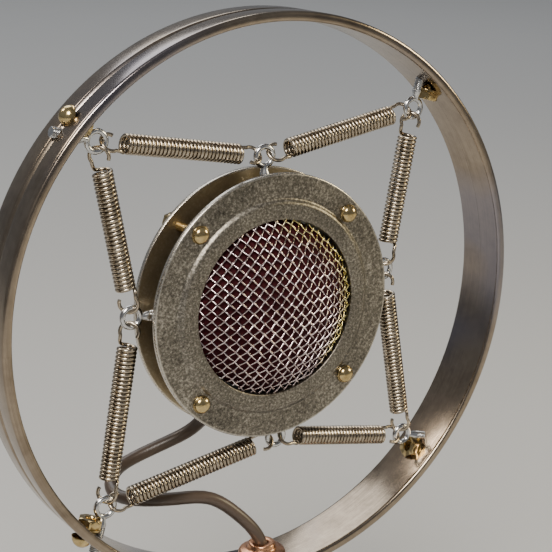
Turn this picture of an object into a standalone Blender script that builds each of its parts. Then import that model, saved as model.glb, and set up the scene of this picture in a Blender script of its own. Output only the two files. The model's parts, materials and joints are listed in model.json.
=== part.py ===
"""A condenser microphone hung on springs inside a ring.

The ring tilts on a hinge at the top of a tubular body. Lengths are in metres. +Z is up, the front faces -Y,
and the origin is on the body's axis, where a stand clip grips it.
"""

from math import atan2, cos, hypot, pi, radians, sin

import bmesh
import bpy
from mathutils import Matrix, Vector

GAP = 0.0003  # clearance between pieces that touch

# The ring: two hoops side by side
RING_RADIUS = 0.0820
RING_THICKNESS = 0.0028
RING_WIDTH = 0.0168
RING_ROUNDING = 0.0010
SEAM_CHAMFER = 0.0006

# The capsule: two flanged plates on a drum, each with a domed grille
PLATE_RADIUS = 0.0380
PLATE_THICKNESS = 0.0016
PLATE_SPREAD = 0.0128  # from one plate's outer face to the other's
OPENING_RADIUS = PLATE_RADIUS * 0.663
STEP_RADIUS = PLATE_RADIUS * 0.800
STEP_HEIGHT = 0.0010
GRILLE_HEIGHT = 0.0098
GRILLE_THICKNESS = 0.0007
DRUM_WALL = 0.0027
SCREW_CIRCLE = PLATE_RADIUS * 0.895
SCREW_RADIUS = 0.0014
SCREW_HEAD_RADIUS = 0.0026
SCREW_HEAD_HEIGHT = 0.0021
CELL_RADIUS = PLATE_RADIUS * 0.45  # the sensing cell inside the drum
CELL_HALF_THICKNESS = 0.0032

# Eyes, nuts and springs
EYE_RADIUS = 0.0027  # to the middle of the eye's wire
EYE_WIRE = 0.0008
RING_EYE_INSET = 0.0073  # from the ring's inner wall to the middle of the eye
CAPSULE_EYE_OUTSET = 0.0038  # from the plates' edge to the middle of the eye
SHANK_RADIUS = 0.0015
NUT_WIDTH = 0.00635  # across flats
NUT_HEIGHT = 0.0025
SPRING_RADIUS = 0.0028
SPRING_WALL = 0.0010
SPRING_WIRE = 0.0005
SPRING_END = 0.0070  # from the middle of an eye to the first coil

# The body tube and what is in it
BODY_RADIUS = 0.0140
BODY_WALL = 0.0015
TUBE_LENGTH = 0.0880
CAP_HEIGHT = 0.0060
COLLAR_HEIGHT = 0.0080
SOCKET_RADIUS = 0.0095
PIN_RADIUS = 0.0012
PIN_CIRCLE = 0.0049
PIN_LENGTH = 0.0110
BOARD_LENGTH = TUBE_LENGTH - 0.0280

# The hinge between the body and the ring
TONGUE_WIDTH = 0.0100
TONGUE_RADIUS = 0.0075
CHEEK_THICKNESS = 0.0040
CHEEK_RADIUS = 0.0080
HINGE_LIFT = 0.0090  # from the cap's top to the hinge
NECK_LENGTH = 0.0140  # from the hinge to the ring
SADDLE_RADIUS = 0.0090
HINGE_SCREW_RADIUS = 0.0020
KNOB_RADIUS = 0.0070
KNOB_THICKNESS = 0.0060

# The cable
CABLE_RADIUS = 0.0019
CABLE_BORE = 0.0024
GLAND_RADIUS = 0.0070
GLAND_SHANK = 0.0036
GLAND_HEIGHT = 0.0045
CABLE_LEAVES = (-PLATE_RADIUS * 0.25, -PLATE_RADIUS * 0.863)  # x and z, from the ring's centre
CABLE_ROUTE = [  # from the ring's centre: down behind the plate, out to the left, round and back to the gland
    (-0.0120, 0.0205, -0.0435),
    (-0.0180, 0.0240, -0.0470),
    (-0.0265, 0.0260, -0.0500),
    (-0.0345, 0.0255, -0.0520),
    (-0.0390, 0.0215, -0.0545),
    (-0.0405, 0.0160, -0.0555),
    (-0.0390, 0.0110, -0.0555),
    (-0.0345, 0.0070, -0.0555),
    (-0.0265, 0.0045, -0.0560),
    (-0.0160, 0.0030, -0.0565),
    (-0.0090, 0.0015, -0.0625),
    (-0.0030, 0.0000, -0.0690),
]

# Places that follow from the sizes above
CAP_TOP = TUBE_LENGTH / 2 + GAP + CAP_HEIGHT
HINGE_Z = CAP_TOP + HINGE_LIFT
RING_Z = HINGE_Z + NECK_LENGTH + RING_RADIUS
RING_INSIDE = RING_RADIUS - RING_THICKNESS
RING_EYE = RING_INSIDE - RING_EYE_INSET
CAPSULE_EYE = PLATE_RADIUS + CAPSULE_EYE_OUTSET
PLATE_OUT = PLATE_SPREAD / 2
PLATE_IN = PLATE_OUT - PLATE_THICKNESS
SEAT = PLATE_IN + STEP_HEIGHT  # the face that each grille's rim is clamped against
GRILLE_IN = SEAT - GAP - GRILLE_THICKNESS
RIM_RADIUS = STEP_RADIUS - PLATE_THICKNESS - 2 * GAP
DRUM_HALF = GRILLE_IN - GAP
DRUM_RADIUS = RIM_RADIUS
PLUG_RADIUS = BODY_RADIUS - BODY_WALL - GAP
CHEEK_OUT = TONGUE_WIDTH / 2 + GAP + CHEEK_THICKNESS
COLLAR_BOTTOM = -TUBE_LENGTH / 2 - GAP - COLLAR_HEIGHT
COLLAR_TOP = -TUBE_LENGTH / 2 + 0.0100
INSERT_BOTTOM = COLLAR_BOTTOM + PIN_LENGTH + GAP + 0.0015
GLAND_SEAT = -(RING_INSIDE**2 - GLAND_RADIUS**2) ** 0.5 + GAP
GLAND_TOP = GLAND_SEAT + GLAND_HEIGHT
LEAD_TOP = RING_Z + GLAND_TOP - 0.0025
FACING_FRONT = Matrix.Rotation(pi / 2, 4, "X")  # turns a profile's height to -Y
FACING_REAR = Matrix.Rotation(-pi / 2, 4, "X")
SMOOTH_BELOW = radians(35)

for leftover in list(bpy.data.objects):
    bpy.data.objects.remove(leftover)
parts = bpy.data.collections.new("condenser_microphone")
cutters = bpy.data.collections.new("cutters")
bpy.context.scene.collection.children.link(parts)
bpy.context.scene.collection.children.link(cutters)


def finish(name, color, roughness, metallic=1.0):
    material = bpy.data.materials.new(name)
    material.use_nodes = True
    shader = material.node_tree.nodes["Principled BSDF"]
    shader.inputs["Base Color"].default_value = (*color, 1)
    shader.inputs["Roughness"].default_value = roughness
    shader.inputs["Metallic"].default_value = metallic
    return material


NICKEL = finish("ring_nickel", (0.62, 0.55, 0.47), 0.22)
ZINC = finish("plate_zinc", (0.42, 0.40, 0.35), 0.42)
BRASS = finish("brass", (0.80, 0.62, 0.30), 0.25)
COPPER = finish("body_copper", (0.72, 0.40, 0.25), 0.28)
WIRE = finish("grille_wire", (0.74, 0.68, 0.66), 0.30)
SPRING = finish("spring_steel", (0.60, 0.55, 0.48), 0.30)
BRIGHT = finish("bright_zinc", (0.72, 0.71, 0.70), 0.25)
CLOTH = finish("inner_cloth", (0.10, 0.02, 0.03), 0.85, 0.0)
GOLD = finish("diaphragm_gold", (0.83, 0.66, 0.30), 0.25)
DARK = finish("dark_anodised", (0.05, 0.05, 0.05), 0.45)
CABLE = finish("cable_jacket", (0.20, 0.15, 0.12), 0.55, 0.0)
PLASTIC = finish("black_plastic", (0.03, 0.03, 0.03), 0.45, 0.0)
BOARD = finish("circuit_board", (0.05, 0.20, 0.09), 0.50, 0.0)


def place(name, mesh, material, matrix=Matrix()):
    """A part of the object, standing where matrix says."""
    part = bpy.data.objects.new(name, mesh)
    part.matrix_world = matrix
    if not mesh.materials:
        mesh.materials.append(material)
    mesh.shade_smooth()
    mesh.set_sharp_from_angle(angle=SMOOTH_BELOW)
    parts.objects.link(part)
    return part


def cutter(mesh, matrix=Matrix()):
    tool = bpy.data.objects.new("cutter", mesh)
    tool.matrix_world = matrix
    tool.hide_render = True
    tool.display_type = "WIRE"
    cutters.objects.link(tool)
    return tool


def combine(part, tool, operation="DIFFERENCE"):
    boolean = part.modifiers.new(operation.lower(), "BOOLEAN")
    boolean.operation = operation
    boolean.object = tool
    return part


def frozen(mesh, others):
    """One mesh made of mesh joined with the others, each a (mesh, matrix)."""
    base = bpy.data.objects.new("frozen", mesh)
    cutters.objects.link(base)
    tools = [cutter(other, matrix) for other, matrix in others]
    for tool in tools:
        combine(base, tool, "UNION")
    bpy.context.view_layer.update()
    graph = bpy.context.evaluated_depsgraph_get()
    result = bpy.data.meshes.new_from_object(base.evaluated_get(graph))
    for used in [base, *tools]:
        bpy.data.objects.remove(used)
    return result


def box(size, centre=(0, 0, 0), rounding=0.0):
    mesh = bpy.data.meshes.new("box")
    shape = bmesh.new()
    bmesh.ops.create_cube(shape, size=1)
    bmesh.ops.scale(shape, vec=size, verts=shape.verts)
    if rounding:
        bmesh.ops.bevel(shape, geom=shape.edges[:], offset=rounding, segments=2, affect="EDGES")
    bmesh.ops.translate(shape, vec=centre, verts=shape.verts)
    shape.to_mesh(mesh)
    shape.free()
    return mesh


def rod(radius, start, end, sides=16):
    """A cylinder from start to end."""
    start, end = Vector(start), Vector(end)
    mesh = bpy.data.meshes.new("rod")
    shape = bmesh.new()
    bmesh.ops.create_cone(shape, cap_ends=True, segments=sides, radius1=radius, radius2=radius,
                          depth=(end - start).length)
    turn = (end - start).to_track_quat("Z", "Y").to_matrix().to_4x4()
    bmesh.ops.transform(shape, matrix=Matrix.Translation((start + end) / 2) @ turn, verts=shape.verts)
    shape.to_mesh(mesh)
    shape.free()
    return mesh


def turned(profile, steps, closed=False, axis="Z"):
    """The (radius, height) profile spun about the axis. It runs down its outer side; closed is for a ring."""
    mesh = bpy.data.meshes.new("turned")
    if axis == "X":
        points = [(height, radius, 0) for radius, height in reversed(profile)]
    elif axis == "Y":
        points = [(radius, height, 0) for radius, height in reversed(profile)]
    else:
        points = [(radius, 0, height) for radius, height in profile]
    edges = [(i, i + 1) for i in range(len(points) - 1)]
    if closed:
        edges.append((len(points) - 1, 0))
    mesh.from_pydata(points, edges, [])
    spun = bpy.data.objects.new("turned", mesh)
    cutters.objects.link(spun)
    screw = spun.modifiers.new("spin", "SCREW")
    screw.axis = axis
    screw.steps = screw.render_steps = steps
    screw.use_merge_vertices = True
    screw.merge_threshold = 0.00001
    bpy.context.view_layer.update()
    graph = bpy.context.evaluated_depsgraph_get()
    result = bpy.data.meshes.new_from_object(spun.evaluated_get(graph))
    bpy.data.objects.remove(spun)
    shape = bmesh.new()
    shape.from_mesh(result)
    bmesh.ops.recalc_face_normals(shape, faces=shape.faces)
    shape.to_mesh(result)
    shape.free()
    return result


def tube(points, radius, resolution=2):
    """A round wire along the points, as a closed mesh."""
    curve = bpy.data.curves.new("wire", "CURVE")
    curve.dimensions = "3D"
    curve.bevel_depth = radius
    curve.bevel_resolution = resolution
    curve.use_fill_caps = True
    line = curve.splines.new("POLY")
    line.points.add(len(points) - 1)
    for target, point in zip(line.points, points):
        target.co = (*point, 1)
    guide = bpy.data.objects.new("wire", curve)
    cutters.objects.link(guide)
    bpy.context.view_layer.update()
    graph = bpy.context.evaluated_depsgraph_get()
    mesh = bpy.data.meshes.new_from_object(guide.evaluated_get(graph))
    bpy.data.objects.remove(guide)
    shape = bmesh.new()
    shape.from_mesh(mesh)
    bmesh.ops.remove_doubles(shape, verts=shape.verts, dist=0.00001)
    bmesh.ops.recalc_face_normals(shape, faces=shape.faces)
    shape.to_mesh(mesh)
    shape.free()
    return mesh


def arc(radius, start, end, count):
    """Points on a circle, from one angle to the other, in degrees."""
    angles = [radians(start + (end - start) * i / (count - 1)) for i in range(count)]
    return [(radius * cos(a), radius * sin(a)) for a in angles]


def smooth_route(route, spacing):
    """Points about this far apart on a cubic B-spline drawn by the route, which starts and ends on it."""
    places = [Vector(point) for point in route]
    places = [2 * places[0] - places[1], *places, 2 * places[-1] - places[-2]]
    found = []
    for a, b, c, d in zip(places, places[1:], places[2:], places[3:]):
        count = max(1, round((c - b).length / spacing))
        for i in range(count):
            t = i / count
            found.append(((1 - t)**3 * a + (3 * t**3 - 6 * t**2 + 4) * b
                          + (3 * t + 3 * t**2 - 3 * t**3 + 1) * c + t**3 * d) / 6)
    return [*found, places[-2]]


def hex_nut(bore):
    """A nut standing on the origin, its height along +X."""
    corner = NUT_WIDTH / 2 / cos(pi / 6)
    wide = bore / cos(pi / 6)
    return turned([(corner, NUT_HEIGHT), (corner, 0), (wide, 0), (wide, NUT_HEIGHT)], 6, True, "X")


def eye(shank_length, shank_radius):
    """A wire ring about the origin in the XZ plane, on a shank along +X."""
    ring = [(EYE_RADIUS + r, h) for r, h in arc(EYE_WIRE, 90, -210, 6)]
    shank = rod(shank_radius, (EYE_RADIUS - EYE_WIRE * 0.4, 0, 0), (shank_length, 0, 0), 10)
    return frozen(turned(ring, 12, True, "Y"), [(shank, Matrix())])


def about_ring(angle, radius):
    """Turns a piece's +X outward at this angle round the ring's middle, and moves it out to the radius."""
    return Matrix.Translation((0, 0, RING_Z)) @ Matrix.Rotation(-angle, 4, "Y") @ Matrix.Translation((radius, 0, 0))


RING_ANGLES = [radians(45 + 90 * i) for i in range(4)]
CAPSULE_ANGLES = [radians(a) for a in (5, 90, 177, 276)]  # the eyes at the sides and the foot sit a little off square


def make_ring():
    half, seam, chamfer, rounding = RING_WIDTH / 2, GAP / 2, SEAM_CHAMFER, RING_ROUNDING
    profile = [
        (RING_RADIUS - rounding, half), (RING_RADIUS - rounding * 0.3, half - rounding * 0.3),
        (RING_RADIUS, half - rounding), (RING_RADIUS, seam + chamfer), (RING_RADIUS - chamfer, seam),
        (RING_INSIDE, seam), (RING_INSIDE, half - rounding / 2), (RING_INSIDE + rounding / 2, half),
    ]
    middle = Matrix.Translation((0, 0, RING_Z))
    hoop = turned(profile, 60, True)
    for name, facing in (("front_hoop", FACING_FRONT), ("rear_hoop", FACING_REAR)):
        part = place(name, hoop.copy(), NICKEL, middle @ facing)
        for angle in RING_ANGLES:
            hole = rod(SHANK_RADIUS + GAP, (RING_INSIDE - 0.005, 0, 0), (RING_RADIUS + 0.005, 0, 0), 12)
            combine(part, cutter(hole, about_ring(angle, 0)))
        bore = rod(GLAND_SHANK + GAP, (0, 0, RING_Z - RING_INSIDE + 0.005),
                   (0, 0, RING_Z - RING_RADIUS - 0.005))
        combine(part, cutter(bore))


def make_ring_eyes():
    bolt = eye(RING_RADIUS - RING_EYE + 0.0035, SHANK_RADIUS)
    nut = hex_nut(SHANK_RADIUS + GAP)
    for number, angle in enumerate(RING_ANGLES, 1):
        place(f"ring_eyebolt_{number}", bolt, BRIGHT, about_ring(angle, RING_EYE))
        place(f"ring_nut_{number}", nut, BRASS, about_ring(angle, RING_INSIDE - 2 * GAP - NUT_HEIGHT))


def plate_mesh():
    shoulder = STEP_RADIUS - PLATE_THICKNESS
    edge = PLATE_THICKNESS * 0.25
    return turned([
        (PLATE_RADIUS - edge, PLATE_OUT), (PLATE_RADIUS, PLATE_OUT - edge), (PLATE_RADIUS, PLATE_IN),
        (shoulder, PLATE_IN), (shoulder, SEAT), (OPENING_RADIUS, SEAT),
        (OPENING_RADIUS, PLATE_OUT + STEP_HEIGHT), (STEP_RADIUS - edge, PLATE_OUT + STEP_HEIGHT),
        (STEP_RADIUS, PLATE_OUT + STEP_HEIGHT - edge), (STEP_RADIUS, PLATE_OUT),
    ], 44, True)


def cap_arc(base_radius, base_height, rise, count):
    """(radius, height) points of a spherical cap, from its top to its base."""
    sphere = (base_radius**2 + rise**2) / (2 * rise)
    reach = atan2(base_radius, sphere - rise)
    centre = base_height + rise - sphere
    angles = [reach * i / count for i in range(count + 1)]
    return [(sphere * sin(a), centre + sphere * cos(a)) for a in angles]


def dome_mesh(base_radius, rim_radius, base_height, rise, wall, count, steps):
    """A domed shell with a flat rim, its height measured from the capsule's middle."""
    outside = cap_arc(base_radius, base_height + wall, rise, count)
    inside = cap_arc(base_radius - wall, base_height, rise, count)
    rim = [(rim_radius, base_height + wall), (rim_radius, base_height)]
    return turned([*outside, *rim, *reversed(inside)], steps)


def make_capsule_shell():
    middle = Matrix.Translation((0, 0, RING_Z))
    clear_radius = OPENING_RADIUS - 2 * GAP
    plate = plate_mesh()
    grille = dome_mesh(clear_radius, RIM_RADIUS, GRILLE_IN, GRILLE_HEIGHT, GRILLE_THICKNESS, 4, 28)
    cloth_wall = GRILLE_THICKNESS / 2
    cloth_radius = clear_radius - GRILLE_THICKNESS - 2 * GAP
    cloth = dome_mesh(cloth_radius, cloth_radius + cloth_wall, GRILLE_IN - cloth_wall - GAP,
                      GRILLE_HEIGHT - 2 * GAP, cloth_wall, 3, 20)
    for side, facing in (("front", FACING_FRONT), ("rear", FACING_REAR)):
        part = place(f"{side}_plate", plate.copy(), ZINC, middle @ facing)
        for angle in RING_ANGLES:
            x, z = SCREW_CIRCLE * cos(angle), SCREW_CIRCLE * sin(angle)
            hole = rod(SCREW_RADIUS + GAP, (x, -PLATE_SPREAD, z), (x, PLATE_SPREAD, z), 12)
            combine(part, cutter(hole, middle))
        place(f"{side}_grille", grille, WIRE, middle @ facing)
        place(f"{side}_cloth", cloth, CLOTH, middle @ facing)
    x, z = CABLE_LEAVES
    hole = rod(CABLE_BORE + 0.0004 + GAP, (x, 0, z), (x, PLATE_SPREAD, z))
    combine(bpy.data.objects["rear_plate"], cutter(hole, middle))


def make_drum():
    middle = Matrix.Translation((0, 0, RING_Z))
    inside = DRUM_RADIUS - DRUM_WALL
    wall = [(DRUM_RADIUS, DRUM_HALF), (DRUM_RADIUS, -DRUM_HALF), (inside, -DRUM_HALF), (inside, DRUM_HALF)]
    drum = place("drum", turned(wall, 36, True), DARK, middle @ FACING_FRONT)
    pin = eye(CAPSULE_EYE - inside - DRUM_WALL * 0.3, SHANK_RADIUS)
    for number, angle in enumerate(CAPSULE_ANGLES, 1):
        hole = rod(SHANK_RADIUS + GAP, (inside - 0.002, 0, 0), (DRUM_RADIUS + 0.002, 0, 0), 12)
        combine(drum, cutter(hole, about_ring(angle, 0)))
        inward = about_ring(angle, CAPSULE_EYE) @ Matrix.Rotation(pi, 4, "Y")
        place(f"capsule_eye_{number}", pin, BRIGHT, inward)


def make_plate_screws():
    seat = PLATE_OUT + GAP
    end = seat + NUT_HEIGHT + 0.0008
    dome = [(SCREW_HEAD_RADIUS * sin(radians(a)), seat + SCREW_HEAD_HEIGHT * cos(radians(a)))
            for a in (0, 30, 60, 90)]
    screw = turned([*dome, (SCREW_RADIUS, seat), (SCREW_RADIUS, -end), (0, -end)], 12)
    nut = hex_nut(SCREW_RADIUS + GAP)
    to_rear = Matrix.Rotation(pi / 2, 4, "Z")
    for number, angle in enumerate(RING_ANGLES, 1):
        spot = Vector((SCREW_CIRCLE * cos(angle), 0, RING_Z + SCREW_CIRCLE * sin(angle)))
        place(f"plate_screw_{number}", screw, BRASS, Matrix.Translation(spot) @ FACING_FRONT)
        behind = Matrix.Translation(spot + Vector((0, seat, 0)))
        place(f"plate_nut_{number}", nut, BRASS, behind @ Matrix.Rotation(pi / 6 - angle, 4, "Y") @ to_rear)


def make_cell():
    """The sensing cell: a body on a post, with a gold diaphragm and its clamp ring on each side."""
    middle = Matrix.Translation((0, 0, RING_Z))
    thick, foot = CELL_HALF_THICKNESS, DRUM_RADIUS - DRUM_WALL - 2 * GAP
    body = turned([(0, thick), (CELL_RADIUS, thick), (CELL_RADIUS, -thick), (0, -thick)], 24)
    post = rod(thick * 0.8, (0, CELL_RADIUS * 0.8, 0), (0, foot, 0), 12)
    place("cell_body", frozen(body, [(post, Matrix())]), BRASS, middle @ FACING_FRONT)
    inner = CELL_RADIUS * 0.8
    low = thick + GAP
    clamp = turned([(CELL_RADIUS, low + 0.0011), (CELL_RADIUS, low), (inner, low), (inner, low + 0.0011)], 24, True)
    skin = inner - GAP
    disc = turned([(0, low + 0.0002), (skin, low + 0.0002), (skin, low), (0, low)], 24)
    for side, facing in (("front", FACING_FRONT), ("rear", FACING_REAR)):
        place(f"{side}_clamp_ring", clamp, BRASS, middle @ facing)
        place(f"{side}_diaphragm", disc, GOLD, middle @ facing)


def spring_mesh(span):
    """A close-wound barrel along +X with a hook at each end, from one eye's middle to the other's."""
    start, end = SPRING_END, span - SPRING_END
    inner = SPRING_RADIUS - SPRING_WALL
    wall = [(SPRING_RADIUS, end), (SPRING_RADIUS, start), (inner, start), (inner, end)]
    barrel = turned(wall, 12, True, "X")
    bend = SPRING_RADIUS - SPRING_WALL / 2
    tip = EYE_RADIUS - EYE_WIRE - SPRING_WIRE - GAP
    turn = [(tip + bend - bend * sin(radians(a)), bend * cos(radians(a))) for a in (0, 45, 90, 135, 180)]
    hook = [(start + SPRING_WALL, bend), *turn, (start - 2 * SPRING_WIRE, -bend)]
    near = tube([(x, y, 0) for x, y in hook], SPRING_WIRE * 0.84, 1)
    return frozen(barrel, [(near, Matrix()), (near, Matrix.Translation((span, 0, 0)) @ Matrix.Rotation(pi, 4, "Z"))])


def make_springs():
    number = 0
    for corner, ring_angle in enumerate(RING_ANGLES):
        for side in (0, 1):
            number += 1
            target = CAPSULE_ANGLES[(corner + side) % 4]
            dx = CAPSULE_EYE * cos(target) - RING_EYE * cos(ring_angle)
            dz = CAPSULE_EYE * sin(target) - RING_EYE * sin(ring_angle)
            start = Vector((RING_EYE * cos(ring_angle), 0, RING_Z + RING_EYE * sin(ring_angle)))
            matrix = Matrix.Translation(start) @ Matrix.Rotation(-atan2(dz, dx), 4, "Y")
            place(f"spring_{number}", spring_mesh(hypot(dx, dz)), SPRING, matrix)


def make_gland_and_cable():
    middle = Matrix.Translation((0, 0, RING_Z))
    foot = -RING_RADIUS - 0.0035
    profile = [
        (CABLE_BORE + 0.0014, GLAND_TOP), (CABLE_BORE + 0.0018, GLAND_SEAT + GLAND_HEIGHT * 0.55),
        (GLAND_RADIUS * 0.93, GLAND_SEAT + GLAND_HEIGHT * 0.50), (GLAND_RADIUS, GLAND_SEAT + GLAND_HEIGHT * 0.38),
        (GLAND_RADIUS, GLAND_SEAT), (GLAND_SHANK, GLAND_SEAT), (GLAND_SHANK, foot), (CABLE_BORE, foot),
        (CABLE_BORE, GLAND_TOP - 0.0022), (CABLE_BORE + 0.0006, GLAND_TOP),
    ]
    place("cable_gland", turned(profile, 24, True), COPPER, middle)
    x, z = CABLE_LEAVES
    collar = CABLE_BORE + 0.0004
    flange = CABLE_BORE + 0.0010
    grommet = [(flange, PLATE_OUT + GAP + 0.0014), (flange, PLATE_OUT + GAP), (collar, PLATE_OUT + GAP),
               (collar, PLATE_IN), (CABLE_BORE, PLATE_IN), (CABLE_BORE, PLATE_OUT + GAP + 0.0014)]
    place("cable_grommet", turned(grommet, 16, True), PLASTIC,
          Matrix.Translation((x, 0, RING_Z + z)) @ FACING_REAR)
    end = LEAD_TOP + 3 * GAP - RING_Z
    route = [(x, PLATE_IN - 0.0028, z), (x, PLATE_OUT - 0.0010, z), (x, PLATE_OUT + 0.0026, z),
             (x, PLATE_OUT + 0.0066, z - 0.0017), (x, PLATE_OUT + 0.0106, z - 0.0057), *CABLE_ROUTE,
             (-0.0006, 0, end + 0.0022), (0, 0, end)]
    cable = tube(smooth_route(route, 0.0055), CABLE_RADIUS)
    place("capsule_cable", cable, CABLE, middle)
    lead = tube([(0, 0, LEAD_TOP + (BOARD_LENGTH / 2 + GAP - LEAD_TOP) * i / 6) for i in range(7)], CABLE_RADIUS)
    place("stem_lead", lead, CABLE)


def make_stem():
    """The piece under the ring: a saddle, a neck and the hinge's tongue, bored for the lead."""
    tongue = rod(TONGUE_RADIUS, (-TONGUE_WIDTH / 2, 0, HINGE_Z), (TONGUE_WIDTH / 2, 0, HINGE_Z), 32)
    ring_bottom = RING_Z - RING_RADIUS
    neck = rod(TONGUE_WIDTH / 2 * 0.96, (0, 0, HINGE_Z), (0, 0, ring_bottom - 0.002), 24)
    saddle = rod(SADDLE_RADIUS, (0, 0, ring_bottom - 0.0045), (0, 0, ring_bottom + 0.0020), 32)
    stem = place("ring_stem", frozen(tongue, [(neck, Matrix()), (saddle, Matrix())]), COPPER)
    hollow = rod(RING_RADIUS + GAP, (0, -RING_WIDTH * 2, RING_Z), (0, RING_WIDTH * 2, RING_Z), 128)
    bore = rod(CABLE_BORE + GAP, (0, 0, HINGE_Z), (0, 0, RING_Z - RING_INSIDE))
    counterbore = rod(GLAND_SHANK + GAP, (0, 0, ring_bottom - 0.0035 - GAP), (0, 0, RING_Z - RING_INSIDE))
    swing = box((2 * (CABLE_BORE + GAP), 4 * TONGUE_RADIUS, 2 * TONGUE_RADIUS), (0, 0, HINGE_Z - TONGUE_RADIUS))
    cross = rod(HINGE_SCREW_RADIUS + GAP, (-TONGUE_WIDTH, 0, HINGE_Z), (TONGUE_WIDTH, 0, HINGE_Z))
    for tool in (hollow, bore, counterbore, swing, cross):
        combine(stem, cutter(tool))


def make_fork_cap():
    """The cap that closes the tube's top, with the two cheeks that hold the tongue."""
    low = TUBE_LENGTH / 2 - 0.0080
    seat = TUBE_LENGTH / 2 + GAP
    edge = 0.0008
    base = turned([(0, CAP_TOP), (BODY_RADIUS - edge, CAP_TOP), (BODY_RADIUS, CAP_TOP - edge), (BODY_RADIUS, seat),
                   (PLUG_RADIUS, seat), (PLUG_RADIUS, low), (0, low)], 40)
    cheeks = rod(CHEEK_RADIUS, (-CHEEK_OUT, 0, HINGE_Z), (CHEEK_OUT, 0, HINGE_Z), 32)
    width, height = 2 * CHEEK_OUT - 0.0006, HINGE_LIFT + 0.0010
    web = box((width, 1.96 * CHEEK_RADIUS, height), (0, 0, HINGE_Z - height / 2))
    cap = place("fork_cap", frozen(base, [(web, Matrix()), (cheeks, Matrix())]), BRASS)
    floor = HINGE_Z - TONGUE_RADIUS - 0.0010
    slot = box((TONGUE_WIDTH + 2 * GAP, 4 * CHEEK_RADIUS, 0.0400), (0, 0, floor + 0.0200))
    cross = rod(HINGE_SCREW_RADIUS + GAP, (-2 * CHEEK_OUT, 0, HINGE_Z), (2 * CHEEK_OUT, 0, HINGE_Z))
    bore = rod(CABLE_BORE + GAP, (0, 0, low - 0.001), (0, 0, HINGE_Z))
    for tool in (slot, cross, bore):
        combine(cap, cutter(tool))


def make_hinge_screws():
    """A plain screw in one cheek and a lock screw with a knob in the other, each ending short of the lead."""
    inner = CABLE_BORE + GAP + 0.0002
    seat = CHEEK_OUT + GAP
    shank = HINGE_SCREW_RADIUS
    head = [(0, seat + 0.0024), (0.0030, seat + 0.0020), (0.0042, seat + 0.0008), (0.0042, seat),
            (shank, seat), (shank, inner), (0, inner)]
    knob_end = seat + KNOB_THICKNESS
    knob = [(0, knob_end), (KNOB_RADIUS - 0.0010, knob_end), (KNOB_RADIUS, knob_end - 0.0010),
            (KNOB_RADIUS, seat + 0.0014), (KNOB_RADIUS - 0.0020, seat), (shank, seat), (shank, inner), (0, inner)]
    hinge = Matrix.Translation((0, 0, HINGE_Z))
    place("hinge_screw", turned(head, 20, axis="X"), BRASS, hinge @ Matrix.Rotation(pi, 4, "Z"))
    place("lock_screw", turned(knob, 24, axis="X"), BRASS, hinge)


def make_body():
    half = TUBE_LENGTH / 2
    bore = BODY_RADIUS - BODY_WALL
    wall = turned([(BODY_RADIUS, half), (BODY_RADIUS, -half), (bore, -half), (bore, half)], 40, True)
    tube_part = place("body_tube", wall, COPPER)
    collar = turned([(PLUG_RADIUS, COLLAR_TOP), (PLUG_RADIUS, -half - GAP), (BODY_RADIUS, -half - GAP),
                     (BODY_RADIUS, COLLAR_BOTTOM + 0.0006), (BODY_RADIUS - 0.0006, COLLAR_BOTTOM),
                     (SOCKET_RADIUS, COLLAR_BOTTOM), (SOCKET_RADIUS, COLLAR_TOP)], 40, True)
    collar_part = place("connector_collar", collar, BRASS)
    screw_z = COLLAR_TOP - 0.0040
    hole = rod(0.0015, (0, SOCKET_RADIUS + 0.0010, screw_z), (0, 2 * BODY_RADIUS, screw_z), 12)
    for part in (tube_part, collar_part):
        combine(part, cutter(hole))
    place("collar_screw", rod(0.0015 - GAP, (0, SOCKET_RADIUS + 0.0010 + GAP, screw_z),
                              (0, BODY_RADIUS + GAP, screw_z), 12), DARK)
    insert_top = INSERT_BOTTOM + 0.0050
    edge = SOCKET_RADIUS - GAP
    place("connector_insert", turned([(0, insert_top), (edge, insert_top), (edge, INSERT_BOTTOM),
                                      (0, INSERT_BOTTOM)], 32), PLASTIC)
    for number in range(3):
        x, y = PIN_CIRCLE * cos(radians(90 + 120 * number)), PIN_CIRCLE * sin(radians(90 + 120 * number))
        pin = rod(PIN_RADIUS, (x, y, INSERT_BOTTOM - GAP), (x, y, INSERT_BOTTOM - GAP - PIN_LENGTH), 12)
        place(f"connector_pin_{number + 1}", pin, BRIGHT)


def make_electronics():
    thickness = 0.0016
    width = 2 * (BODY_RADIUS - BODY_WALL) - 0.0040
    place("circuit_board", box((width, thickness, BOARD_LENGTH)), BOARD)
    front = -thickness / 2 - GAP
    place("output_transformer", box((0.0120, 0.0070, 0.0150), (0, front - 0.0035, -0.0150), 0.0008), DARK)
    place("coupling_capacitor", rod(0.0030, (0, front - 0.0030, 0.0020), (0, front - 0.0030, 0.0160), 16), PLASTIC)


make_ring()
make_ring_eyes()
make_capsule_shell()
make_drum()
make_plate_screws()
make_cell()
make_springs()
make_gland_and_cable()
make_stem()
make_fork_cap()
make_hinge_screws()
make_body()
make_electronics()
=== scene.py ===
import json
from math import cos, pi, radians, sin, sqrt

import bmesh
import bpy
from mathutils import Matrix, Vector


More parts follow.
